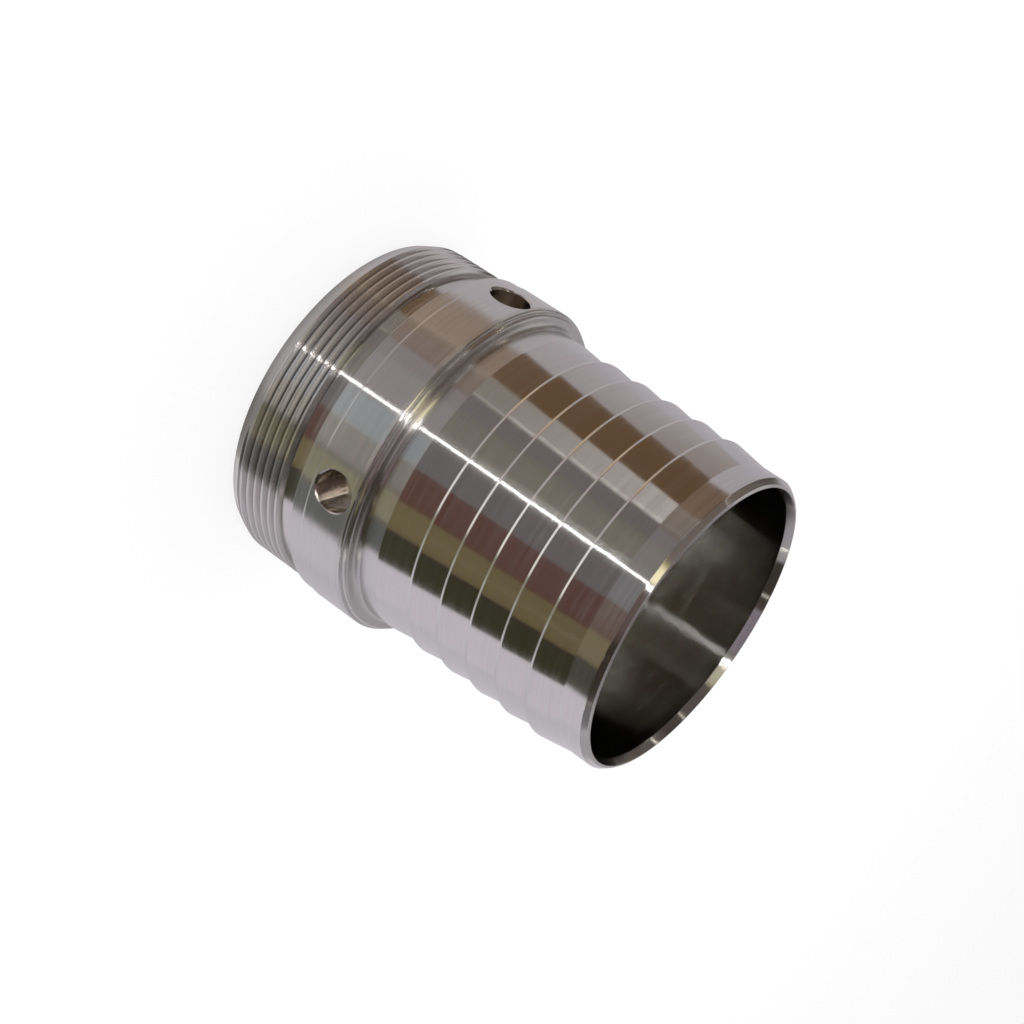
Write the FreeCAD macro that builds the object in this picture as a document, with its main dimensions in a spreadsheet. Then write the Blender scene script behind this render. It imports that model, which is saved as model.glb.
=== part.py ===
import FreeCAD, Part
import math
import os
import Sketcher

# Threaded hose tail, turned from one bar. It stands on its thread end: the origin is the centre
# of that end face, and +Z runs along the bore to the mouth of the hose end.
# Lengths are millimetres, and every size that is a diameter says so in its name.

SIZES = {
    # Thread end: a plain cylinder on the crests of a parallel pipe thread, with a lead-in cone.
    "thread_diameter": 87.884,
    "thread_length": 16.7,
    "lead_in_depth": 1.742,
    "lead_in_length": 3.8,
    # Relief between the thread and the collar. Its floor is two shallow cones, one per pass.
    "relief_depth": 1.492,
    "relief_width": 4.4,
    "relief_fall": 0.2,
    # Collar: a gasket seat a little smaller than the band that the spanner holes are in.
    "seat_rise": 0.858,
    "seat_width": 3.9,
    "band_rise": 0.3,
    "band_step_length": 0.35,
    "collar_length": 12.3,
    # Moulding from the collar down to the tail: two bevelled steps, a narrow face and a cove.
    "upper_step_bevel": 0.7,
    "lower_step_bevel": 1.0,
    "step_land": 0.2,
    "cove_face_width": 0.75,
    # Bore and wall: the bore follows from the thread, and the tail from the bore.
    "thread_wall": 6.742,
    "tail_wall": 2.5,
    # Tail: a plain land, a first ramp, then equal barbs whose shoulders face the collar.
    "barb_height": 1.35,
    "tail_land_length": 4.6,
    "first_ramp_length": 9.9,
    "barb_pitch": 9.0,
    "barb_count": 5,
    "barb_land": 0.6,
    # Plain end of the tail and its mouth. The rest of the wall is the mouth's inner bevel.
    "spigot_length": 6.1,
    "mouth_chamfer": 1.1,
    "mouth_lip_height": 0.6,
    "mouth_lip_width": 0.75,
    "mouth_bevel_depth": 2.2,
    "thread_end_bevel": 0.8,
    # Blind spanner holes, spaced evenly around the collar's band and centred in its width.
    "hole_margin": 0.975,
    "hole_depth": 6.0,
    "hole_count": 4,
    "hole_countersink": 0.55,
    # How far a tool runs out past the surface that it cuts.
    "runout": 3.0,
}

# Places that follow from the sizes: radii, and heights above the thread end face.
PLACES = {
    "zero": "0",
    "thread_r": "Sizes.thread_diameter / 2",
    "lead_in_r": "thread_r - Sizes.lead_in_depth",
    "lead_in_z": "Sizes.lead_in_length",
    "relief_z": "Sizes.thread_length",
    "relief_r": "thread_r - Sizes.relief_depth",
    "relief_low_r": "relief_r - Sizes.relief_fall",
    "relief_mid_z": "relief_z + Sizes.relief_width / 2",
    "relief_out_r": "thread_r + Sizes.runout",
    "seat_r": "thread_r + Sizes.seat_rise",
    "seat_z": "relief_z + Sizes.relief_width",
    "seat_end_z": "seat_z + Sizes.seat_width",
    "collar_r": "seat_r + Sizes.band_rise",
    "band_z": "seat_end_z + Sizes.band_step_length",
    "band_end_z": "seat_end_z + Sizes.collar_length",
    "bore_r": "thread_r - Sizes.thread_wall",
    "tail_r": "bore_r + Sizes.tail_wall",
    "barb_r": "tail_r + Sizes.barb_height",
    "tail_out_r": "barb_r + Sizes.runout",
    "upper_step_r": "collar_r - Sizes.upper_step_bevel",
    "upper_step_z": "band_end_z + Sizes.upper_step_bevel",
    "upper_land_z": "upper_step_z + Sizes.step_land",
    "lower_step_r": "upper_step_r - Sizes.lower_step_bevel",
    "lower_step_z": "upper_land_z + Sizes.lower_step_bevel",
    "cove_face_z": "lower_step_z + Sizes.step_land",
    "cove_r": "lower_step_r - Sizes.cove_face_width",
    "tail_land_z": "cove_face_z + cove_r - barb_r",
    "first_ramp_z": "tail_land_z + Sizes.tail_land_length",
    "first_barb_z": "first_ramp_z + Sizes.first_ramp_length",
    "first_crest_z": "first_barb_z + Sizes.barb_land",
    "second_barb_z": "first_barb_z + Sizes.barb_pitch",
    "spigot_z": "first_barb_z + Sizes.barb_count * Sizes.barb_pitch",
    "mouth_edge_z": "spigot_z + Sizes.spigot_length",
    "lip_z": "mouth_edge_z + Sizes.mouth_chamfer",
    "lip_r": "tail_r - Sizes.mouth_chamfer",
    "mouth_z": "lip_z + Sizes.mouth_lip_height",
    "rim_r": "lip_r - Sizes.mouth_lip_width",
    "mouth_out_z": "mouth_z + Sizes.runout",
    "bevel_z": "mouth_z - Sizes.mouth_bevel_depth",
    "end_bevel_r": "bore_r + Sizes.thread_end_bevel",
    "end_bevel_z": "Sizes.thread_end_bevel",
    "hole_z": "(band_z + band_end_z) / 2",
    "hole_edge_z": "band_end_z - Sizes.hole_margin",
    "hole_sink_z": "hole_edge_z + Sizes.hole_countersink",
    "hole_floor_r": "collar_r - Sizes.hole_depth",
    "hole_sink_r": "collar_r - Sizes.hole_countersink",
    "hole_out_r": "collar_r + Sizes.runout",
}


def make_sheet(doc, name, cells):
    """A spreadsheet with one aliased cell for each entry, named in the column beside it."""
    sheet = doc.addObject("Spreadsheet::Sheet", name)
    for row, (alias, content) in enumerate(cells.items(), start=1):
        sheet.set("A%d" % row, alias)
        sheet.set("B%d" % row, content)
        sheet.setAlias("B%d" % row, alias)
    doc.recompute()
    return sheet


def origin_item(body, role):
    """The plane or axis of a body's own origin that has this role."""
    return next(item for item in body.Origin.OriginFeatures if item.Role == role)


def add_sketch(body, name):
    """An empty sketch on the body's XZ plane, whose own axes are then the radius and the height."""
    sketch = body.newObject("Sketcher::SketchObject", name)
    sketch.AttachmentSupport = (origin_item(body, "XZ_Plane"), [""])
    sketch.MapMode = "FlatFace"
    return sketch


def hold_point(sketch, places, item, point, across, along):
    """Tie one point of a sketch to its named radius and height, or to the axes where they are zero."""
    for kind, place, axis in (("DistanceX", across, -2), ("DistanceY", along, -1)):
        if place == "zero":
            sketch.addConstraint(Sketcher.Constraint("PointOnObject", item, point, axis))
        else:
            value = places.get(place)
            index = sketch.addConstraint(Sketcher.Constraint(kind, -1, 1, item, point, value))
            sketch.setExpression("Constraints[%d]" % index, "Places.%s" % place)


def quarter_cove(start, stop):
    """A hollow quarter circle that leaves start towards the axis and comes to stop along it."""
    centre = FreeCAD.Vector(start.x, stop.y, 0)
    circle = Part.Circle(centre, FreeCAD.Vector(0, 0, 1), start.x - stop.x)
    return Part.ArcOfCircle(circle, math.pi, 1.5 * math.pi)


def add_outline(sketch, places, corners, coves=()):
    """Draw a closed outline through named corners, as (radius, height) pairs of places.

    coves lists the corners from which a side is a hollow quarter circle and not a straight line.
    """
    points = [FreeCAD.Vector(places.get(across), places.get(along), 0) for across, along in corners]
    sides = []
    for corner, start, stop in zip(corners, points, points[1:] + points[:1]):
        if corner in coves:
            sides.append((sketch.addGeometry(quarter_cove(start, stop)), 2, 1))
        else:
            sides.append((sketch.addGeometry(Part.LineSegment(start, stop)), 1, 2))
    for corner, (side, first, last), (following, following_first, _) in zip(
            corners, sides, sides[1:] + sides[:1]):
        sketch.addConstraint(Sketcher.Constraint("Coincident", side, last, following, following_first))
        hold_point(sketch, places, side, first, *corner)
        if corner in coves:
            sketch.addConstraint(Sketcher.Constraint("Vertical", side, 3, side, first))


def check_sketch(sketch):
    """A sketch that its constraints leave free, or over-hold, would move when a size changes."""
    if sketch.solve() != 0 or not sketch.FullyConstrained:
        raise RuntimeError("%s is not fully constrained" % sketch.Label)


def turn(body, kind, name, places, corners, coves=()):
    """Revolve an outline about Z: a Revolution adds it to the body, a Groove cuts it away."""
    sketch = add_sketch(body, name + "Profile")
    add_outline(sketch, places, corners, coves)
    before = body.Shape.Volume if body.Tip else 0.0
    feature = body.newObject("PartDesign::" + kind, name)
    feature.Profile = sketch
    feature.ReferenceAxis = (sketch, ["V_Axis"])
    feature.Angle = 360
    body.Document.recompute()
    check_sketch(sketch)
    check_volume(feature, before)
    return feature


def check_volume(feature, before):
    """Each feature has to change the body: a cut that misses the solid raises no error by itself."""
    after = feature.Shape.Volume
    if abs(after - before) < 0.01:
        raise RuntimeError("%s changes nothing" % feature.Label)
    print("%-16s %10.1f mm3 -> %10.1f mm3" % (feature.Label, before, after))


def make_blank(body, places):
    """The outside of the turned bar: thread, gasket seat, collar, moulding and the tail's stock."""
    corners = [
        ("zero", "zero"),
        ("lead_in_r", "zero"),
        ("thread_r", "lead_in_z"),
        ("thread_r", "seat_z"),
        ("seat_r", "seat_z"),
        ("seat_r", "seat_end_z"),
        ("collar_r", "band_z"),
        ("collar_r", "band_end_z"),
        ("upper_step_r", "upper_step_z"),
        ("upper_step_r", "upper_land_z"),
        ("lower_step_r", "lower_step_z"),
        ("lower_step_r", "cove_face_z"),
        ("cove_r", "cove_face_z"),
        ("barb_r", "tail_land_z"),
        ("barb_r", "mouth_z"),
        ("zero", "mouth_z"),
    ]
    turn(body, "Revolution", "TurnedBlank", places, corners, coves=[("cove_r", "cove_face_z")])


def cut_relief(body, places):
    """The relief that the threading tool runs out into, with a low step between its two passes."""
    corners = [
        ("relief_out_r", "relief_z"),
        ("relief_r", "relief_z"),
        ("relief_low_r", "relief_mid_z"),
        ("relief_r", "relief_mid_z"),
        ("relief_low_r", "seat_z"),
        ("relief_out_r", "seat_z"),
    ]
    turn(body, "Groove", "ThreadRelief", places, corners)


def cut_ramp(body, name, places, start, stop):
    """A cone from the barbs' crest at one height down to the tail's own radius at another."""
    corners = [
        ("barb_r", start),
        ("tail_r", stop),
        ("tail_out_r", stop),
        ("tail_out_r", start),
    ]
    return turn(body, "Groove", name, places, corners)


def cut_barbs(body, places):
    """The long first ramp, then one barb repeated towards the mouth."""
    cut_ramp(body, "FirstRamp", places, "first_ramp_z", "first_barb_z")
    ramp = cut_ramp(body, "BarbRamp", places, "first_crest_z", "second_barb_z")
    row = body.newObject("PartDesign::LinearPattern", "BarbRow")
    row.Originals = [ramp]
    row.Direction = (origin_item(body, "Z_Axis"), [""])
    row.Mode = "Spacing"
    row.setExpression("Offset", "Sizes.barb_pitch")
    row.setExpression("Occurrences", "Sizes.barb_count")
    finish_pattern(body, row, ramp)


def finish_pattern(body, pattern, original):
    body.Tip = pattern
    body.Document.recompute()
    check_volume(pattern, original.Shape.Volume)


def cut_spigot(body, places):
    """The plain end of the tail, with its chamfer and the blunt lip of the mouth."""
    corners = [
        ("tail_r", "spigot_z"),
        ("tail_r", "mouth_edge_z"),
        ("lip_r", "lip_z"),
        ("rim_r", "mouth_z"),
        ("rim_r", "mouth_out_z"),
        ("tail_out_r", "mouth_out_z"),
        ("tail_out_r", "spigot_z"),
    ]
    turn(body, "Groove", "Spigot", places, corners)


def cut_bore(body, places):
    """The straight bore, with a small bevel at the thread end and a longer one at the mouth."""
    corners = [
        ("zero", "zero"),
        ("end_bevel_r", "zero"),
        ("bore_r", "end_bevel_z"),
        ("bore_r", "bevel_z"),
        ("rim_r", "mouth_z"),
        ("zero", "mouth_z"),
    ]
    turn(body, "Groove", "Bore", places, corners)


def cut_spanner_holes(body, places):
    """One blind hole with a flat floor and a countersunk rim, then its copies around the collar."""
    sketch = add_sketch(body, "SpannerHoleProfile")
    corners = [
        ("hole_floor_r", "hole_z"),
        ("hole_floor_r", "hole_edge_z"),
        ("hole_sink_r", "hole_edge_z"),
        ("collar_r", "hole_sink_z"),
        ("hole_out_r", "hole_sink_z"),
        ("hole_out_r", "hole_z"),
    ]
    add_outline(sketch, places, corners)
    ends = [FreeCAD.Vector(places.get(across), places.get("hole_z"), 0)
            for across in ("zero", "hole_out_r")]
    centre_line = sketch.addGeometry(Part.LineSegment(*ends), True)
    hold_point(sketch, places, centre_line, 1, "zero", "hole_z")
    hold_point(sketch, places, centre_line, 2, "hole_out_r", "hole_z")
    before = body.Shape.Volume
    hole = body.newObject("PartDesign::Groove", "SpannerHole")
    hole.Profile = sketch
    hole.ReferenceAxis = (sketch, ["Axis0"])
    hole.Angle = 360
    body.Document.recompute()
    check_sketch(sketch)
    check_volume(hole, before)
    ring = body.newObject("PartDesign::PolarPattern", "SpannerHoles")
    ring.Originals = [hole]
    ring.Axis = (origin_item(body, "Z_Axis"), [""])
    ring.Angle = 360
    ring.setExpression("Occurrences", "Sizes.hole_count")
    finish_pattern(body, ring, hole)


def check_document(doc):
    """recompute can leave a feature failed without raising, so every object's state is read."""
    for item in doc.Objects:
        if "Invalid" in item.State or "Error" in item.State:
            raise RuntimeError("%s failed: %s" % (item.Label, item.State))


def export(body, folder):
    shape = body.Shape
    if shape.isNull() or not shape.isValid() or len(shape.Solids) != 1:
        raise RuntimeError("%s is not one valid solid" % body.Label)
    shape.exportStep(os.path.join(folder, body.Label + ".step"))
    box = shape.optimalBoundingBox(False)
    print("%s: %d faces, %.1f x %.1f x %.1f mm, %.0f mm3"
          % (body.Label, len(shape.Faces), box.XLength, box.YLength, box.ZLength, shape.Volume))


def main():
    doc = FreeCAD.newDocument("HoseTail")
    make_sheet(doc, "Sizes", {name: str(value) for name, value in SIZES.items()})
    places = make_sheet(doc, "Places", {name: "=" + rule for name, rule in PLACES.items()})
    body = doc.addObject("PartDesign::Body", "HoseTail")
    body.Label = "hose_tail"
    make_blank(body, places)
    cut_relief(body, places)
    cut_barbs(body, places)
    cut_spigot(body, places)
    cut_bore(body, places)
    cut_spanner_holes(body, places)
    doc.recompute()
    check_document(doc)
    os.makedirs("parts", exist_ok=True)
    export(body, "parts")


main()
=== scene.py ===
import math

import bpy
import numpy as np
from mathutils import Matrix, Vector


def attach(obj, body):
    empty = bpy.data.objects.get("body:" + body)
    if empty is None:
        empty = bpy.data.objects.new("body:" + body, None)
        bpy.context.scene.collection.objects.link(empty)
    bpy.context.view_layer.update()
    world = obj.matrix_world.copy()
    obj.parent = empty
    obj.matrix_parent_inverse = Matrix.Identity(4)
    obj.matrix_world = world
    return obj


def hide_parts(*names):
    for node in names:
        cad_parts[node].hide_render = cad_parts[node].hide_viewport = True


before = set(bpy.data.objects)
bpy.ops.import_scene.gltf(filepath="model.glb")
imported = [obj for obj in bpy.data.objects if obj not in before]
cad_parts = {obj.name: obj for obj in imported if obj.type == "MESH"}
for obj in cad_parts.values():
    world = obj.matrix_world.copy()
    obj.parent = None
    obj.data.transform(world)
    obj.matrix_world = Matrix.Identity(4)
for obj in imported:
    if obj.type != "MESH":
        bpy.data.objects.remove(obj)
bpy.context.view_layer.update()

# A turned steel hose tail that stands on its thread end, with +Z along the bore.
# Shapes are worked out in millimetres and degrees; objects are made in metres.
MM = 0.001
TURN = 2 * math.pi
COLUMNS = 360
ROUNDING_STEP = 25        # about how far each row of a rounded edge turns, in degrees

# Thread: a 55 degree form with broad crests, right-handed, 11 turns to the inch.
PITCH = 2.309
CREST_R = 43.942
V_BOTTOM_R = 42.37        # where a groove's flanks would meet
ROOT_ROUND = 0.08
ROOT_R = 42.46            # bottom of the rounded root
PAINTED_SHADE_EDGE_R = 43.4         # the painted shade in the grooves reaches out to here
HALF_ANGLE = math.radians(27.5)
GROOVE_Z = 3.414          # height of one groove's centre at 0 degrees
GROOVE_START = -0.267     # where the first groove starts, in turns from that groove's 0 degrees
GROOVE_RUN_IN = 0.035     # turns in which it comes to its full depth
GROOVES = range(-3, 8)    # every turn that a column may cross; the rest lie outside the thread
ROWS_PER_GROOVE = 10
THREAD_END_Z = 16.7
END_FACE_R = 42.52        # the thread's end face reaches in to here
END_FACE_BREAK = 0.07
LEAD_IN_R = 42.2
LEAD_IN_Z = 3.8
LEAD_IN_SLOPE = (CREST_R - LEAD_IN_R) / LEAD_IN_Z

# Relief behind the thread: two passes of the tool, each of which falls away towards the collar.
RELIEF_R = 42.43
RELIEF_FALL = 0.3
RELIEF_MIDDLE_Z = 18.8
SEAT_Z = 21.5

# Collar: a skirt, the band with its four blind holes, and a moulding of a bead and a cove.
SKIRT_R = 44.8
SKIRT_TOP_Z = 25.0
BAND_R = 45.1
BAND_BOTTOM_Z = 25.35
BAND_TOP_Z = 37.3
SHOULDER_Z = 38.0
BEAD_R = 44.4
BEAD_Z = 39.3
MOULDING_BOTTOM_Z = 36.4
MOULDING_TOP_Z = 41.0
HOLE_R = 5.0
HOLE_Z = 31.325
HOLE_FLOOR_R = 39.1
HOLE_SINK_R = 44.55       # the countersink meets the hole here, out from the part's axis
HOLE_RIM_BREAK = 0.05
HOLE_PATCH = 10           # columns each side of a hole that its own mesh replaces
HOLE_COUNT = 4
BAND_ROWS = 12

# Barbed tail, mouth and bore.
TAIL_R = 39.7
BARB_R = 41.05
FIRST_RAMP_Z = 45.6
FIRST_BARB_Z = 55.5
BARB_PITCH = 9.0
BARB_COUNT = 5
BARB_LAND = 0.62
BARB_LAND_RISE = 0.145    # a land rises to its crest, so that it looks down
MOUTH_Z = 108.3
OUTER_BEVEL_Z = 106.7
RIM_OUTER = (38.66, 108.02)
RIM_INNER_R = 37.92
INNER_BEVEL_Z = 106.1
BORE_R = 37.2
BORE_FOOT = (38.0, 0.8)   # radius and height of the bevel at the thread end

ARC = TURN * CREST_R / COLUMNS    # a column's width on the flat map of the turning marks


def add_object(name, data):
    thing = bpy.data.objects.new(name, data)
    bpy.context.scene.collection.objects.link(thing)
    return thing


def on_circle(column, r, z, out, up):
    """A point and its normal in one column, from a row of a profile."""
    angle = TURN * column / COLUMNS
    return ((r * math.cos(angle), r * math.sin(angle), z),
            (out * math.cos(angle), out * math.sin(angle), up))


class Surface:
    """Collects points with their own normals, and faces with a flat map of the turning marks."""

    def __init__(self):
        self.points, self.normals, self.faces, self.flat, self.painted_hole_shade = [], [], [], [], []

    def point(self, position, normal):
        self.points.append(position)
        self.normals.append(normal)
        return len(self.points) - 1

    def face(self, corners, painted_hole_shade=False):
        """corners are (point, (along the marks, across the marks)); repeated points are dropped."""
        kept = [c for i, c in enumerate(corners) if c[0] != corners[i - 1][0]]
        if len(kept) > 2:
            self.faces.append([index for index, _ in kept])
            self.flat.extend(place for _, place in kept)
            self.painted_hole_shade.append(painted_hole_shade)

    def skin(self, first, second, first_across, second_across, skip=()):
        """Faces between two rings, but not in the columns to skip."""
        for column in range(COLUMNS):
            if column in skip:
                continue
            after = (column + 1) % COLUMNS
            left, right = column * ARC, (column + 1) * ARC
            self.face([
                (first[column], (left, first_across)), (first[after], (right, first_across)),
                (second[after], (right, second_across)), (second[column], (left, second_across))])

    def turn(self, rows, across):
        """Rings for the rows of a profile, with skins between them."""
        rings = [[self.point(*on_circle(column, *row)) for column in range(COLUMNS)]
                 for row in rows]
        for i, (before, after) in enumerate(zip(rows, rows[1:])):
            step = math.hypot(after[0] - before[0], after[1] - before[1])
            self.skin(rings[i], rings[i + 1], across, across + step)
            across += step
        return rings

    def build(self, name):
        mesh = bpy.data.meshes.new(name)
        mesh.from_pydata((np.array(self.points) * MM).tolist(), [], self.faces)
        # Painted shade: faces inside the holes get the second material, a darker, browner copy of the
        # steel.
        mesh.polygons.foreach_set("material_index", self.painted_hole_shade)
        marks = mesh.uv_layers.new(name="turning")
        marks.data.foreach_set("uv", (np.array(self.flat) * MM).ravel())
        mesh.normals_split_custom_set_from_vertices(self.normals)
        return add_object(name, mesh)


def rounded(corners):
    """Rows (radius, height, normal out, normal up) along a profile of (radius, height, edge break).

    The solid is on the left of the way along the profile. The two end corners only give directions.
    """
    rows = []
    for before, (r, z, size), after in zip(corners, corners[1:], corners[2:]):
        into = np.array([r - before[0], z - before[1]])
        out = np.array([after[0] - r, after[1] - z])
        into, out = into / np.hypot(*into), out / np.hypot(*out)
        turn = math.atan2(into[0] * out[1] - into[1] * out[0], float(into @ out))
        radius = size / math.tan(turn / 2)
        first = np.array([into[1], -into[0]])
        centre = np.array([r, z]) - into * size - first * radius
        steps = max(1, round(abs(math.degrees(turn)) / ROUNDING_STEP))
        for step in range(steps + 1):
            angle = turn * step / steps
            across = np.array([first[0] * math.cos(angle) - first[1] * math.sin(angle),
                               first[0] * math.sin(angle) + first[1] * math.cos(angle)])
            rows.append((*(centre + across * radius), *across))
    return rows


def below_band():
    """Rows of the relief, the seat under the collar and the collar's lower edge."""
    return rounded([
        (END_FACE_R, THREAD_END_Z, 0), (RELIEF_R, THREAD_END_Z, 0.06),
        (RELIEF_R - RELIEF_FALL, RELIEF_MIDDLE_Z, 0.03), (RELIEF_R, RELIEF_MIDDLE_Z, 0.05),
        (RELIEF_R - RELIEF_FALL, SEAT_Z, 0.05), (SKIRT_R, SEAT_Z, 0.15),
        (SKIRT_R, SKIRT_TOP_Z, 0.06), (BAND_R, BAND_BOTTOM_Z, 0.16), (BAND_R, BAND_TOP_Z, 0),
    ])


def above_band():
    """Rows of the moulding, the barbs, the mouth and the bore, as far as the lead-in's foot."""
    corners = [
        (BAND_R, BAND_TOP_Z, 0), (BAND_R, SHOULDER_Z, 0.58), (BEAD_R, SHOULDER_Z, 0.11),
        (BEAD_R, BEAD_Z, 0.94), (BARB_R, BEAD_Z, 1.6), (BARB_R, FIRST_RAMP_Z, 0.12),
        (TAIL_R, FIRST_BARB_Z, 0.12),
    ]
    for barb in range(BARB_COUNT):
        z = FIRST_BARB_Z + barb * BARB_PITCH
        corners += [(BARB_R - BARB_LAND_RISE, z, 0.04), (BARB_R, z + BARB_LAND, 0.12),
                    (TAIL_R, z + BARB_PITCH, 0.12)]
    return rounded(corners + [
        (TAIL_R, OUTER_BEVEL_Z, 0.12), (*RIM_OUTER, 0.1), (RIM_INNER_R, MOUTH_Z, 0.08),
        (BORE_R, INNER_BEVEL_Z, 0.2), (BORE_R, BORE_FOOT[1], 0.12), (BORE_FOOT[0], 0.0, 0.12),
        (LEAD_IN_R, 0.0, 0.12), (CREST_R, LEAD_IN_Z, 0),
    ])


def envelope(z):
    """The bar under the thread: the lead-in cone, then the cylinder on the crests."""
    if z < LEAD_IN_Z:
        size = math.hypot(1, LEAD_IN_SLOPE)
        return LEAD_IN_R + LEAD_IN_SLOPE * z, 1 / size, -LEAD_IN_SLOPE / size
    return CREST_R, 1.0, 0.0


def smooth(value):
    value = min(1.0, max(0.0, value))
    return value * value * (3 - 2 * value)


class Groove:
    """One turn of the thread's groove where it crosses one column."""

    STEEP = 1 / math.tan(HALF_ANGLE)
    ROOT_HALF = ROOT_ROUND * math.cos(HALF_ANGLE)
    ROOT_CENTRE = ROOT_ROUND / math.sin(HALF_ANGLE)

    def __init__(self, turns):
        self.z = GROOVE_Z + PITCH * turns
        cut = smooth((turns - GROOVE_START) / GROOVE_RUN_IN)
        self.bottom = V_BOTTOM_R + (1 - cut) * (CREST_R - V_BOTTOM_R)
        climb = self.STEEP * self.z
        on_cone_low = (self.bottom + climb - LEAD_IN_R) / (self.STEEP + LEAD_IN_SLOPE)
        on_cone_high = (climb - self.bottom + LEAD_IN_R) / (self.STEEP - LEAD_IN_SLOPE)
        reach = (CREST_R - self.bottom) / self.STEEP
        self.low = min(self.z, max(on_cone_low, self.z - reach))
        self.high = max(self.z, min(on_cone_high, self.z + reach))

    def surface(self, z):
        """Radius and normal at a height: the groove where it is cut, else the envelope."""
        radius, out, up = envelope(z)
        away = z - self.z
        if abs(away) < self.ROOT_HALF:
            rise = math.sqrt(ROOT_ROUND ** 2 - away ** 2)
            cut = self.bottom + self.ROOT_CENTRE - rise
            cut_out, cut_up = rise / ROOT_ROUND, -away / ROOT_ROUND
        else:
            cut = self.bottom + self.STEEP * abs(away)
            cut_out, cut_up = math.sin(HALF_ANGLE), -math.copysign(math.cos(HALF_ANGLE), away)
        return (cut, cut_out, cut_up) if cut < radius else (radius, out, up)


def thread_rows(turn, low_z, high_z):
    """Rows of the threaded length in one column. Each groove brings ten, even where it isn't cut."""
    lip, cone_edge = 0.05, 0.06
    grooves = [Groove(number + turn) for number in GROOVES]
    rows = []
    for groove, following in zip(grooves, grooves[1:] + [None]):
        root = groove.ROOT_HALF
        below = groove.low + lip / 2
        above = max(groove.high - lip / 2, below)
        heights = [groove.low - lip, below]
        heights += [min(max(groove.z + away, below), above)
                    for away in (-root, -root / 2, root / 2, root)]
        heights += [above, groove.high + lip]
        edge = following.low - lip if following else high_z
        heights += [min(max(z, heights[-1]), edge)
                    for z in (LEAD_IN_Z - cone_edge, LEAD_IN_Z + cone_edge)]
        for z in heights:
            z = min(max(z, low_z), high_z)
            rows.append((z, *groove.surface(z)))
    return rows


def thread_columns(low_z, high_z):
    """Every column's thread rows. Where rows are pinned to an end they take the end's radius."""
    columns = []
    for column in range(COLUMNS):
        turn = column / COLUMNS
        ends = {z: min((Groove(number + turn).surface(z) for number in GROOVES),
                       key=lambda found: found[0])
                for z in (low_z, high_z)}
        columns.append([(ends[z] if z in ends else (r, out, up)) + (z,)
                        for z, r, out, up in thread_rows(turn, low_z, high_z)])
    return columns


def add_thread(surface, foot, foot_z):
    """The threaded length, whose rows follow the helix, and its end face, up to its inner edge."""
    end_z = THREAD_END_Z - END_FACE_BREAK
    columns = thread_columns(foot_z, end_z)
    ids = []
    for c, rows in enumerate(columns):
        column_ids, last, last_z = [], foot[c], foot_z
        for r, out, up, z in rows:
            if abs(z - last_z) > 1e-6:
                last = surface.point(*on_circle(c, r, z, out, up))
            column_ids.append(last)
            last_z = z
        ids.append(column_ids)
    rims = [column_ids[-1] for column_ids in ids]
    count = len(ids[0])

    def corner(c, i):
        """A row's point and its place on the flat map. The first column also comes after the last,
        where its rows are a groove further on."""
        along = c * ARC
        if c == COLUMNS:
            c, i = 0, i + ROWS_PER_GROOVE
        return (ids[c][i], (along, columns[c][i][3])) if i < count else (rims[c], (along, end_z))

    for c in range(COLUMNS):
        for i in range(count - 1):
            surface.face([corner(c, i), corner(c + 1, i), corner(c + 1, i + 1), corner(c, i + 1)])

    end_face = []
    for c in range(COLUMNS):
        r = max(columns[c][-1][0] - END_FACE_BREAK, END_FACE_R)
        end_face.append(surface.point(*on_circle(c, r, THREAD_END_Z, 0, 1)))
    surface.skin(rims, end_face, end_z, THREAD_END_Z)
    return end_face


def add_band(surface, bottom, top, heights):
    """The collar's band, with a patch left open around each hole for the hole's own mesh."""
    centres = range(0, COLUMNS, COLUMNS // HOLE_COUNT)
    opened = {(centre + c) % COLUMNS for centre in centres for c in range(-HOLE_PATCH, HOLE_PATCH)}
    inside = opened - {(centre - HOLE_PATCH) % COLUMNS for centre in centres}
    band = [bottom]
    for z in heights[1:-1]:
        band.append([None if c in inside else surface.point(*on_circle(c, BAND_R, z, 1, 0))
                     for c in range(COLUMNS)])
    band.append(top)
    for i in range(BAND_ROWS):
        surface.skin(band[i], band[i + 1], heights[i], heights[i + 1], skip=opened)
    for centre in centres:
        add_hole(surface, band, heights, centre)


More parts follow.
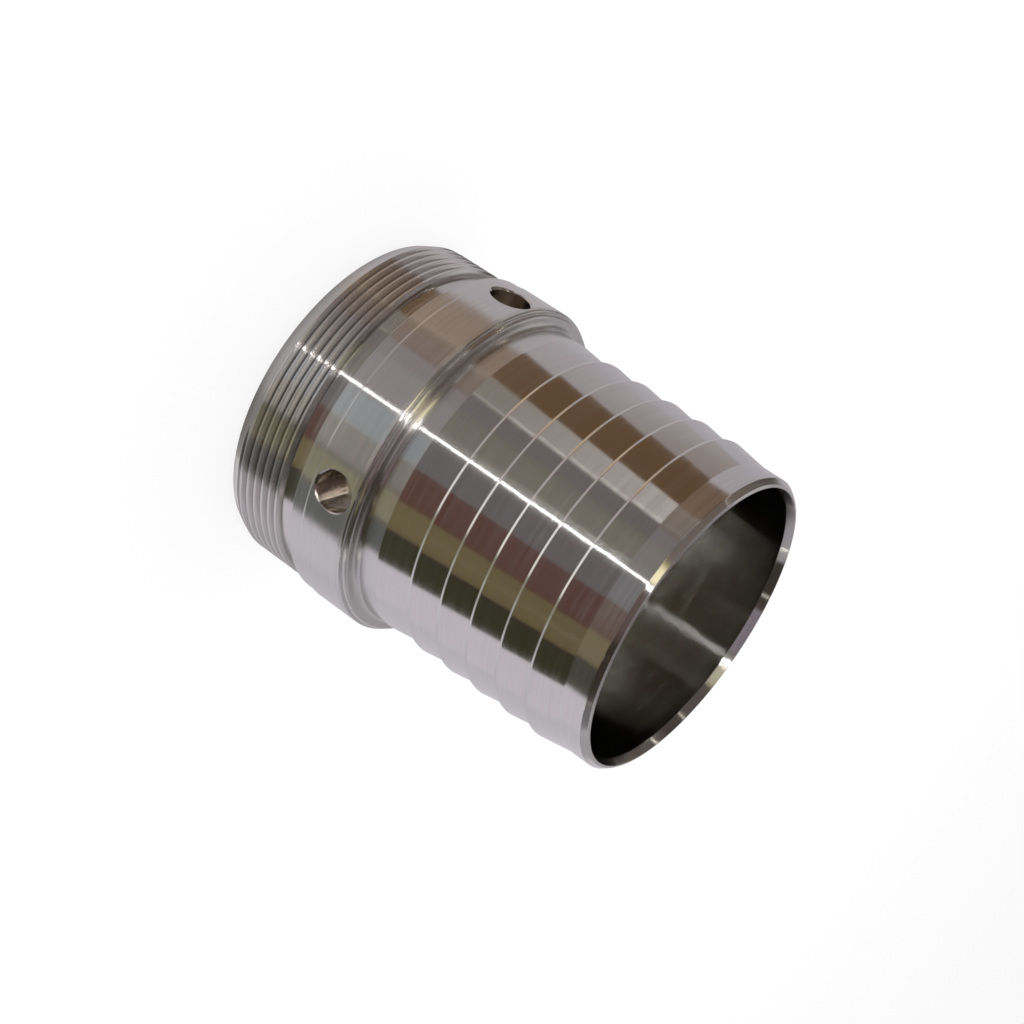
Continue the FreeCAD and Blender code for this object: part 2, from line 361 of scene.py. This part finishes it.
def add_hole(surface, band, heights, centre):
    """The patch of the band around one hole, its countersink, its wall and its flat floor."""
    heading = TURN * centre / COLUMNS
    reach = HOLE_PATCH
    border = [(c, 0) for c in range(-reach, reach)]
    border += [(reach, row) for row in range(BAND_ROWS)]
    border += [(c, BAND_ROWS) for c in range(reach, -reach, -1)]
    border += [(-reach, row) for row in range(BAND_ROWS, 0, -1)]
    count = len(border)

    def on_band(across, z):
        angle = heading + across / BAND_R
        return ((BAND_R * math.cos(angle), BAND_R * math.sin(angle), z),
                (math.cos(angle), math.sin(angle), 0))

    def in_hole(out, ring_r, spin, normal_out, normal_ring):
        """A place a distance out from the part's axis, on a circle around the hole's own axis."""
        across, z = ring_r * math.cos(spin), HOLE_Z + ring_r * math.sin(spin)
        side, rise = normal_ring * math.cos(spin), normal_ring * math.sin(spin)
        return ((out * math.cos(heading) - across * math.sin(heading),
                 out * math.sin(heading) + across * math.cos(heading), z),
                (normal_out * math.cos(heading) - side * math.sin(heading),
                 normal_out * math.sin(heading) + side * math.cos(heading), rise))

    places = []
    for c, row in border:
        across = TURN * c / COLUMNS * BAND_R
        rise = heights[row] - HOLE_Z
        spin = math.atan2(rise, across)
        # The countersink's cone meets the band where the hole's circle and the band's curve agree.
        rim_r = HOLE_R
        for _ in range(20):
            out = math.sqrt(BAND_R ** 2 - (rim_r * math.cos(spin)) ** 2)
            rim_r = HOLE_R + out - HOLE_SINK_R
        places.append((across, rise, spin, rim_r, out))

    def on_patch(share, across, rise, spin, rim_r, _):
        """A place on the band between the hole's rim (0) and the patch's border (1)."""
        edge_r = rim_r + HOLE_RIM_BREAK
        rim_across = BAND_R * math.asin(edge_r * math.cos(spin) / BAND_R)
        rim_rise = edge_r * math.sin(spin)
        return (rim_across + (across - rim_across) * share,
                HOLE_Z + rim_rise + (rise - rim_rise) * share)

    rings = [[band[row][(centre + c) % COLUMNS] for c, row in border]]
    flats = []
    for share in (1.0, 0.6, 0.3, 0.12, 0.0):
        spots = [on_patch(share, *place) for place in places]
        flats.append([(centre * ARC + across * CREST_R / BAND_R, z) for across, z in spots])
        if share < 1:
            rings.append([surface.point(*on_band(*spot)) for spot in spots])
    for i in range(len(rings) - 1):
        for k in range(count):
            after = (k + 1) % count
            surface.face([(rings[i][k], flats[i][k]), (rings[i][after], flats[i][after]),
                          (rings[i + 1][after], flats[i + 1][after]),
                          (rings[i + 1][k], flats[i + 1][k])])

    # Inside the hole the flat map turns with the drill: along is around, across is down the hole.
    # Each row is a distance out, a circle's radius, a normal out and across, and a way down.
    half = math.sqrt(0.5)
    wall = [[surface.point(*in_hole(out - 0.04, rim_r - 0.04, spin, half, -half))
             for _, _, spin, rim_r, out in places]]
    depths = [0.0]
    for out, ring_r, normal_out, normal_ring, depth in (
        (HOLE_SINK_R + 0.04, HOLE_R + 0.04, half, -half, 0.6),
        (HOLE_SINK_R - 0.05, HOLE_R, 0, -1, 0.75),
        (HOLE_FLOOR_R + 0.1, HOLE_R, 0, -1, 6.1),
        (HOLE_FLOOR_R + 0.03, HOLE_R - 0.03, half, -half, 6.2),
        (HOLE_FLOOR_R, HOLE_R - 0.1, 1, 0, 6.3),
        (HOLE_FLOOR_R, HOLE_R / 2, 1, 0, 8.7),
    ):
        wall.append([surface.point(*in_hole(out, ring_r, place[2], normal_out, normal_ring))
                     for place in places])
        depths.append(depth)

    def flat_edge(k, depth):
        """Both ends of one edge of a row on the flat map, which doesn't wrap around."""
        start, stop = (places[i % count][2] % TURN * HOLE_R for i in (k, k + 1))
        return (start, depth), (start + (stop - start) % (TURN * HOLE_R), depth)

    def join(first, second, first_depth, second_depth):
        for k in range(count):
            after = (k + 1) % count
            (a, b), (d, c) = flat_edge(k, first_depth), flat_edge(k, second_depth)
            surface.face([(first[k], a), (first[after], b), (second[after], c), (second[k], d)],
                         painted_hole_shade=first_depth > 0)

    join(rings[-1], wall[0], -0.06, 0.0)
    for i in range(len(wall) - 1):
        join(wall[i], wall[i + 1], depths[i], depths[i + 1])
    middle = surface.point(*in_hole(HOLE_FLOOR_R, 0, 0, 1, 0))
    for k in range(count):
        a, b = flat_edge(k, depths[-1])
        surface.face([(wall[-1][k], a), (wall[-1][(k + 1) % count], b),
                      (middle, (a[0], depths[-1] + HOLE_R / 2))], painted_hole_shade=True)


def build_body():
    """The whole part as one closed mesh: turned rings, a helical thread and the hole patches."""
    surface = Surface()
    lower, upper = below_band(), above_band()
    upper_rings = surface.turn(upper, BAND_TOP_Z)
    end_face = add_thread(surface, upper_rings[-1], upper[-1][1])
    relief_start = THREAD_END_Z + 1       # on the flat map the end face is 1 mm wide
    lower_rings = surface.turn(lower, relief_start)
    surface.skin(end_face, lower_rings[0], THREAD_END_Z, relief_start)
    add_band(surface, lower_rings[-1], upper_rings[0],
             np.linspace(lower[-1][1], upper[0][1], BAND_ROWS + 1))
    return surface.build("turned_hose_tail")


class Graph:
    """The node tree of a material or of the world."""

    def __init__(self, owner):
        owner.use_nodes = True
        self.tree = owner.node_tree
        self.tree.nodes.clear()

    def node(self, kind, inputs=None, **settings):
        """A new node. An input is given a value, or the socket that it is linked to."""
        node = self.tree.nodes.new(kind)
        for name, value in settings.items():
            setattr(node, name, value)
        for name, value in (inputs or {}).items():
            if isinstance(value, bpy.types.NodeSocket):
                self.tree.links.new(value, node.inputs[name])
            else:
                node.inputs[name].default_value = value
        return node

    def math(self, operation, *values, clamp=False):
        return self.node("ShaderNodeMath", dict(enumerate(values)), operation=operation,
                         use_clamp=clamp).outputs[0]

    def between(self, value, low, high):
        """1 where a length in metres lies between two in millimetres, else 0."""
        return self.math("MULTIPLY", self.math("GREATER_THAN", value, low * MM),
                         self.math("LESS_THAN", value, high * MM))

    def ramp(self, value, start, stop, low, high):
        return self.node("ShaderNodeMapRange", {
            "Value": value, "From Min": start, "From Max": stop, "To Min": low, "To Max": high,
        }).outputs["Result"]

    def mix_colours(self, factor, first, second):
        return self.node("ShaderNodeMix", {"Factor": factor, "A": first, "B": second},
                         data_type="RGBA").outputs["Result"]


def turned_steel(name, dark, light):
    """Bright turned steel: fine marks around the part spread every reflection along its axis."""
    material = bpy.data.materials.new(name)
    graph = Graph(material)
    place = graph.node("ShaderNodeTexCoord").outputs["Object"]
    x, y, height = graph.node("ShaderNodeSeparateXYZ", {0: place}).outputs
    level = graph.node("ShaderNodeCombineXYZ", {"X": x, "Y": y}).outputs[0]
    radius = graph.node("ShaderNodeVectorMath", {0: level}, operation="LENGTH").outputs["Value"]
    flat = graph.node("ShaderNodeUVMap", uv_map="turning").outputs[0]
    across = graph.node("ShaderNodeSeparateXYZ", {0: flat}).outputs["Y"]
    tangent = graph.node("ShaderNodeTangent", direction_type="UV_MAP", uv_map="turning")

    def marks(around_scale, across_scale, detail):
        """Noise that is very long along the marks and very fine across them."""
        scaled = [graph.math("MULTIPLY", socket, scale) for socket, scale in (
            (x, around_scale), (y, around_scale), (across, across_scale))]
        joined = graph.node("ShaderNodeCombineXYZ", dict(enumerate(scaled)))
        return graph.node("ShaderNodeTexNoise", {
            "Vector": joined.outputs[0], "Scale": 1.0, "Detail": detail, "Roughness": 0.6,
        }).outputs["Fac"]

    fine = marks(25.0, 5200.0, 3.0)
    broad = marks(18.0, 900.0, 2.0)

    # The bore is smoother than the outside, and the form tool leaves the moulding duller.
    in_bore = graph.math("LESS_THAN", radius, (BORE_R + 0.02) * MM)
    on_moulding = graph.math("MULTIPLY", graph.between(height, MOULDING_BOTTOM_Z, MOULDING_TOP_Z),
                             graph.math("GREATER_THAN", radius, BARB_R * MM))
    rough = graph.math("MULTIPLY_ADD", in_bore, -0.09, graph.ramp(broad, 0.25, 0.75, 0.13, 0.19))
    rough = graph.math("MULTIPLY_ADD", on_moulding, 0.10, rough)

    # Painted shade: the thread's grooves are painted darker towards their roots, in place of the shade
    # that falls in them.
    tint = graph.mix_colours(graph.ramp(fine, 0.25, 0.75, 0.0, 1.0), (*dark, 1), (*light, 1))
    on_thread = graph.math("MULTIPLY", graph.math("GREATER_THAN", radius, LEAD_IN_R * MM),
                           graph.math("LESS_THAN", height, THREAD_END_Z * MM))
    painted_groove_shade = graph.math("MULTIPLY", on_thread, graph.ramp(radius, ROOT_R * MM, PAINTED_SHADE_EDGE_R * MM, 0.3, 0.0))
    colour = graph.mix_colours(painted_groove_shade, tint, (0.05, 0.045, 0.035, 1))

    bump = graph.node("ShaderNodeBump", {
        "Strength": 0.5, "Height": fine,
        "Distance": graph.math("MULTIPLY_ADD", in_bore, 0.01 * MM, 0.008 * MM),
    })
    shader = graph.node("ShaderNodeBsdfPrincipled", {
        "Metallic": 1.0, "Anisotropic": 1.0, "Anisotropic Rotation": 0.25, "Base Color": colour,
        "Roughness": rough, "Tangent": tangent.outputs[0], "Normal": bump.outputs[0],
    })
    graph.node("ShaderNodeOutputMaterial", {"Surface": shader.outputs[0]})
    return material


def glow_where_seen(graph):
    """A factor that is 1 for camera, glossy and transmission rays, and 0 for the light they share."""
    path = graph.node("ShaderNodeLightPath").outputs
    seen = graph.math("ADD", path["Is Camera Ray"], path["Is Glossy Ray"], clamp=True)
    return graph.math("ADD", seen, path["Is Transmission Ray"], clamp=True)


def build_floor():
    """A wide pale floor that shows as white and still takes a soft shadow."""
    size, whiteness = 4.0, 0.88
    mesh = bpy.data.meshes.new("studio_floor")
    mesh.from_pydata([(-size, -size, 0), (size, -size, 0), (size, size, 0), (-size, size, 0)], [],
                     [(0, 1, 2, 3)])
    floor = add_object("studio_floor", mesh)
    material = bpy.data.materials.new("studio_floor")
    graph = Graph(material)
    matt = graph.node("ShaderNodeBsdfDiffuse", {"Color": (0.8, 0.8, 0.8, 1)})
    white = graph.node("ShaderNodeEmission")
    mix = graph.node("ShaderNodeMixShader", {
        "Fac": graph.math("MULTIPLY", glow_where_seen(graph), whiteness),
        1: matt.outputs[0], 2: white.outputs[0]})
    graph.node("ShaderNodeOutputMaterial", {"Surface": mix.outputs[0]})
    mesh.materials.append(material)
    floor.visible_glossy = False


def build_world():
    world = bpy.data.worlds.new("studio")
    bpy.context.scene.world = world
    graph = Graph(world)
    soft = graph.node("ShaderNodeBackground", {"Color": (0.62, 0.62, 0.62, 1)})
    white = graph.node("ShaderNodeBackground")
    mix = graph.node("ShaderNodeMixShader", {
        "Fac": glow_where_seen(graph), 1: soft.outputs[0], 2: white.outputs[0]})
    graph.node("ShaderNodeOutputWorld", {"Surface": mix.outputs[0]})


# Studio cards: a ball of glowing cards around the part, which only its polish shows. Each reaches
# from one heading to the next, and a heading is that of the strip of the part's side which shows it
# to the camera. A card has three colours: at the foot, which edges that look down show, low, which
# upright surfaces show, and in the middle, which the barbs' ramps show.
CARDS = [
    (154.8, "pale", (0.54, 0.52, 0.54), (0.54, 0.51, 0.53), (0.51, 0.49, 0.52)),
    (197, "brown", (0.74, 0.56, 0.38), (0.385, 0.31, 0.255), (0.15, 0.085, 0.04)),
    (213, "pale_grey", (0.60, 0.53, 0.52), (0.25, 0.185, 0.15), (0.20, 0.18, 0.155)),
    (222, "mauve_grey", (0.60, 0.53, 0.52), (0.31, 0.27, 0.29), (0.205, 0.18, 0.18)),
    (227.5, "olive_grey", (0.60, 0.54, 0.53), (0.34, 0.32, 0.34), (0.205, 0.195, 0.165)),
    (240, "blue_grey", (1.25, 1.27, 1.25), (0.325, 0.36, 0.38), (0.155, 0.14, 0.14)),
    (250, "maroon", (1.30, 1.25, 1.15), (0.25, 0.26, 0.235), (0.12, 0.048, 0.034)),
    (261, "olive_brown", (0.34, 0.33, 0.24), (0.33, 0.315, 0.225), (0.185, 0.145, 0.07)),
    (271, "dark_brown", (0.50, 0.48, 0.40), (0.16, 0.14, 0.11), (0.035, 0.024, 0.016)),
    (272, "dark_olive", (0.62, 0.63, 0.58), (0.15, 0.16, 0.16), (0.043, 0.042, 0.018)),
    (283, "lilac", (0.80, 0.78, 0.80), (0.68, 0.66, 0.70), (0.73, 0.70, 0.75)),
    (300, "dim_lilac", (0.80, 0.78, 0.80), (0.61, 0.59, 0.62), (0.66, 0.64, 0.68)),
    (329.6, None, None, None, None),
]
# Cards above them, in front: from one level angle to the next, left (-) or right of the camera.
FRONT = [
    (-130, "left", (0.18, 0.15, 0.13)), (-60, "beside", (0.20, 0.17, 0.16)),
    (-2, "red_brown", (0.13, 0.09, 0.08)), (45, "black", (0.04, 0.03, 0.02)),
    (98, "grey", (0.16, 0.15, 0.155)), (118, "lilac", (0.56, 0.54, 0.57)), (130, None, None),
]
PALE = (0.62, 0.60, 0.62)
WHITE = (1, 1, 1)
CAMERA_AT = (-0.22522, -0.430813, 0.268681)
CAMERA_HEADING = 242.2
BALL_R = 3.0
BALL_MIDDLE_Z = 0.06
# Elevations, in degrees, at which the layers of cards begin and end.
BOTTOM, FOOT, LOW, MIDDLE, FRONT_LOW, FRONT_HIGH, TOP, POLE = -89, -60, -38, -22.5, 4, 20, 75, 89.9
BACK_LIGHT, BACK_DIM = 22, 42
# How far out the cards stand that aren't on the ball itself, as a share of its radius.
LAMPS, EDGES, NEARER, BEHIND = 0.95, 0.96, 0.97, 1.01


def look_out(heading):
    """The level direction in which the camera sees the part's side mirror, in degrees."""
    x, y = (TAIL_R * MM * f(math.radians(heading)) for f in (math.cos, math.sin))
    towards_camera = math.degrees(math.atan2(CAMERA_AT[1] - y, CAMERA_AT[0] - x)) % 360
    return 2 * heading - towards_camera


def ball_point(direction, elevation, share):
    """A point of the ball of cards, from a level direction and an elevation."""
    direction, elevation = math.radians(direction), math.radians(elevation)
    reach = BALL_R * share * math.cos(elevation)
    return (reach * math.cos(direction), reach * math.sin(direction),
            BALL_MIDDLE_Z + BALL_R * share * math.sin(elevation))


def add_card(name, points, faces, colour, strength=1.0):
    """A glowing card that only polished surfaces show."""
    mesh = bpy.data.meshes.new(name)
    mesh.from_pydata(points, [], faces)
    card = add_object(name, mesh)
    material = bpy.data.materials.new(name)
    graph = Graph(material)
    glow = graph.node("ShaderNodeEmission", {"Color": (*colour, 1), "Strength": strength})
    graph.node("ShaderNodeOutputMaterial", {"Surface": glow.outputs[0]})
    mesh.materials.append(material)
    card.visible_camera = card.visible_diffuse = card.visible_shadow = False


def add_wall(name, start, stop, bottom, top, colour, strength=1.0, share=1.0):
    """A card on the ball between two directions and two elevations."""
    directions, elevations = (
        np.linspace(low, high, max(2, math.ceil(abs(high - low) / 5) + 1))
        for low, high in ((start, stop), (bottom, top)))
    points = [ball_point(d, e, share) for d in directions for e in elevations]
    rows = len(elevations)
    faces = [(k, k + 1, k + rows + 1, k + rows)
             for k in range(len(points) - rows) if (k + 1) % rows]
    add_card(name, points, faces, colour, strength)


def build_ball():
    """The cards that surround the part."""
    for (start, name, foot, low, middle), (stop, *_) in zip(CARDS, CARDS[1:]):
        start, stop = look_out(start), look_out(stop)
        add_wall("card_foot_" + name, start, stop, FOOT, LOW, foot)
        add_wall("card_low_" + name, start, stop, LOW, MIDDLE, low)
        add_wall("card_middle_" + name, start, stop, MIDDLE, FRONT_LOW, middle)
    ahead, behind = CAMERA_HEADING, CAMERA_HEADING + 180
    for (start, name, colour), (stop, *_) in zip(FRONT, FRONT[1:]):
        add_wall("card_front_" + name, ahead + start, ahead + stop, FRONT_HIGH, TOP, colour)
    add_wall("card_front_low", ahead - 80, ahead + 80, FRONT_LOW, FRONT_HIGH, (0.05, 0.045, 0.04))
    add_wall("card_back_low", behind - 45, behind + 27, FRONT_LOW, BACK_DIM, (0.45, 0.435, 0.45),
             share=NEARER)
    add_wall("card_beside_left", behind + 27, behind + 100, FRONT_LOW, BACK_LIGHT,
             (0.10, 0.09, 0.085))
    add_wall("card_beside_right", behind - 100, behind - 45, FRONT_LOW, BACK_LIGHT,
             (0.45, 0.43, 0.455))
    for side, start, stop in (("left", -130, -30), ("right", 30, 130)):
        add_wall("card_back_light_" + side, behind + start, behind + stop, BACK_LIGHT, TOP, PALE,
                 share=BEHIND)
    add_wall("card_back_dim", behind - 30, behind + 30, BACK_DIM, TOP, (0.14, 0.125, 0.115))
    add_wall("card_top", 0, 360, TOP, POLE, PALE)
    add_wall("card_bottom", 0, 360, BOTTOM, FOOT, (0.46, 0.455, 0.46))
    add_wall("card_bottom_right", ahead + 60, ahead + 130, BOTTOM, -54, (0.28, 0.28, 0.27),
             share=NEARER)
    add_wall("card_foot_behind", 0, 360, FOOT, LOW, (0.80, 0.79, 0.80), share=BEHIND)


def build_bore_cards():
    """A dim disc that the bore stands on, and a bright strip on it from its middle to its edge.

    The bore's wall shows the strip, after four reflections, as a thin streak.
    """
    radius, disc_z, strip_z, sides = 36.5 * MM, 1.2 * MM, 1.5 * MM, 48
    add_card("card_under_bore", [
        (radius * math.cos(a), radius * math.sin(a), disc_z)
        for a in np.linspace(0, TURN, sides, endpoint=False)
    ], [tuple(range(sides))], (0.12, 0.115, 0.068))
    near, far, beyond = (radius * np.array((math.cos(a), math.sin(a)))
                         for a in np.radians((230.3, 46.8, 223.4)))
    middle = (near + far) / 2
    along = (far - near) / np.linalg.norm(far - near)
    side = np.array((-along[1], along[0]))
    narrow, wide = side * 0.2 * MM, side * 1.6 * MM
    outline = [middle - narrow, far - wide, far + (beyond - far) * 0.2, far + wide, middle + narrow]
    add_card("lamp_under_bore", [(x, y, strip_z) for x, y in outline], [(0, 1, 2, 3, 4)],
             (0.88, 0.96, 1.0), 24.0)


def build_small_cards():
    """Cards that stand in front of the ball."""
    # The strip that the ramps show brighter towards the mouth, its bright edge, and a brown haze.
    add_wall("card_strip", look_out(213), look_out(222), -5, FRONT_LOW, (0.97, 0.92, 0.87),
             share=NEARER)
    add_wall("card_strip_edge", look_out(220.6), look_out(221.3), -9, FRONT_LOW,
             (1.0, 0.97, 0.93), share=EDGES)
    add_wall("card_haze", look_out(180), look_out(197), -10.5, FRONT_LOW, (0.29, 0.23, 0.19),
             share=NEARER)
    # A window behind the camera, which the mouth's far bevel shows.
    add_wall("card_window", CAMERA_HEADING - 29, CAMERA_HEADING + 2, 9, FRONT_HIGH,
             (0.36, 0.37, 0.34), share=NEARER)
    add_wall("card_window_dim", CAMERA_HEADING + 2, CAMERA_HEADING + 38, 9, 24,
             (0.38, 0.34, 0.40), share=NEARER)
    # A gold card beside the long lamp.
    add_wall("card_gold", look_out(228.9), look_out(236.8), 24, TOP, (1.0, 0.93, 0.60), 1.35,
             NEARER)
    add_wall("card_gold_edge", look_out(227.5), look_out(228.9), 24, TOP, (0.60, 0.48, 0.10),
             share=NEARER)


def build_tubes():
    """A long thin lamp, which draws a white line along the whole part, and dimmer tubes around it,
    which mostly show in the mouth's far bevel and the bore."""
    lamp = look_out(239.0)
    add_wall("lamp_front", lamp - 0.1, lamp + 0.1, FOOT, 9, WHITE, 20.0, LAMPS)
    add_wall("lamp_above", lamp - 0.22, lamp + 0.22, 9, TOP, WHITE, 45.0, LAMPS)
    add_wall("lamp_beside_camera", CAMERA_HEADING - 12, CAMERA_HEADING - 8, 13, 16, WHITE, 11.0,
             LAMPS)
    for name, side, strength in (("left", -92, 6.0), ("half_left", -60, 2.5),
                                 ("half_right", 50, 2.5), ("right", 92, 6.0)):
        tube = CAMERA_HEADING + side
        add_wall("lamp_" + name, tube - 0.4, tube + 0.4, 10, 30, (0.95, 0.93, 0.8), strength,
                 NEARER)


def build_softbox():
    """The soft light on the floor and the part's shadow. The part's polish doesn't show it."""
    light = bpy.data.lights.new("overhead_softbox", "AREA")
    light.shape = "RECTANGLE"
    light.size = light.size_y = 0.9
    light.energy = 14.0
    lamp = add_object("overhead_softbox", light)
    lamp.location = (0.1, 0.25, 1.1)
    lamp.rotation_euler = (-Vector(lamp.location)).to_track_quat("-Z", "Y").to_euler()
    lamp.visible_glossy = False


def build_camera():
    data = bpy.data.cameras.new("camera")
    data.sensor_width = 36.0
    data.lens = 77.7026
    data.clip_start = 0.01
    camera = add_object("camera", data)
    camera.location = CAMERA_AT
    camera.rotation_euler = [math.radians(a) for a in (-51.9241, -48.9641, 121.6197)]
    bpy.context.scene.camera = camera


body = build_body()
body.data.materials.append(turned_steel("turned_steel", (0.64, 0.62, 0.61), (0.70, 0.68, 0.67)))
# Painted shade: the holes' walls and floors take a darker, browner copy of the steel.
body.data.materials.append(turned_steel("hole_steel_painted_shade", (0.53, 0.48, 0.43), (0.59, 0.54, 0.49)))
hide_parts("hose_tail")
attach(body, "root")
build_floor()
build_world()
build_ball()
build_bore_cards()
build_small_cards()
build_tubes()
build_softbox()
build_camera()
bpy.context.scene.view_settings.view_transform = "Standard"
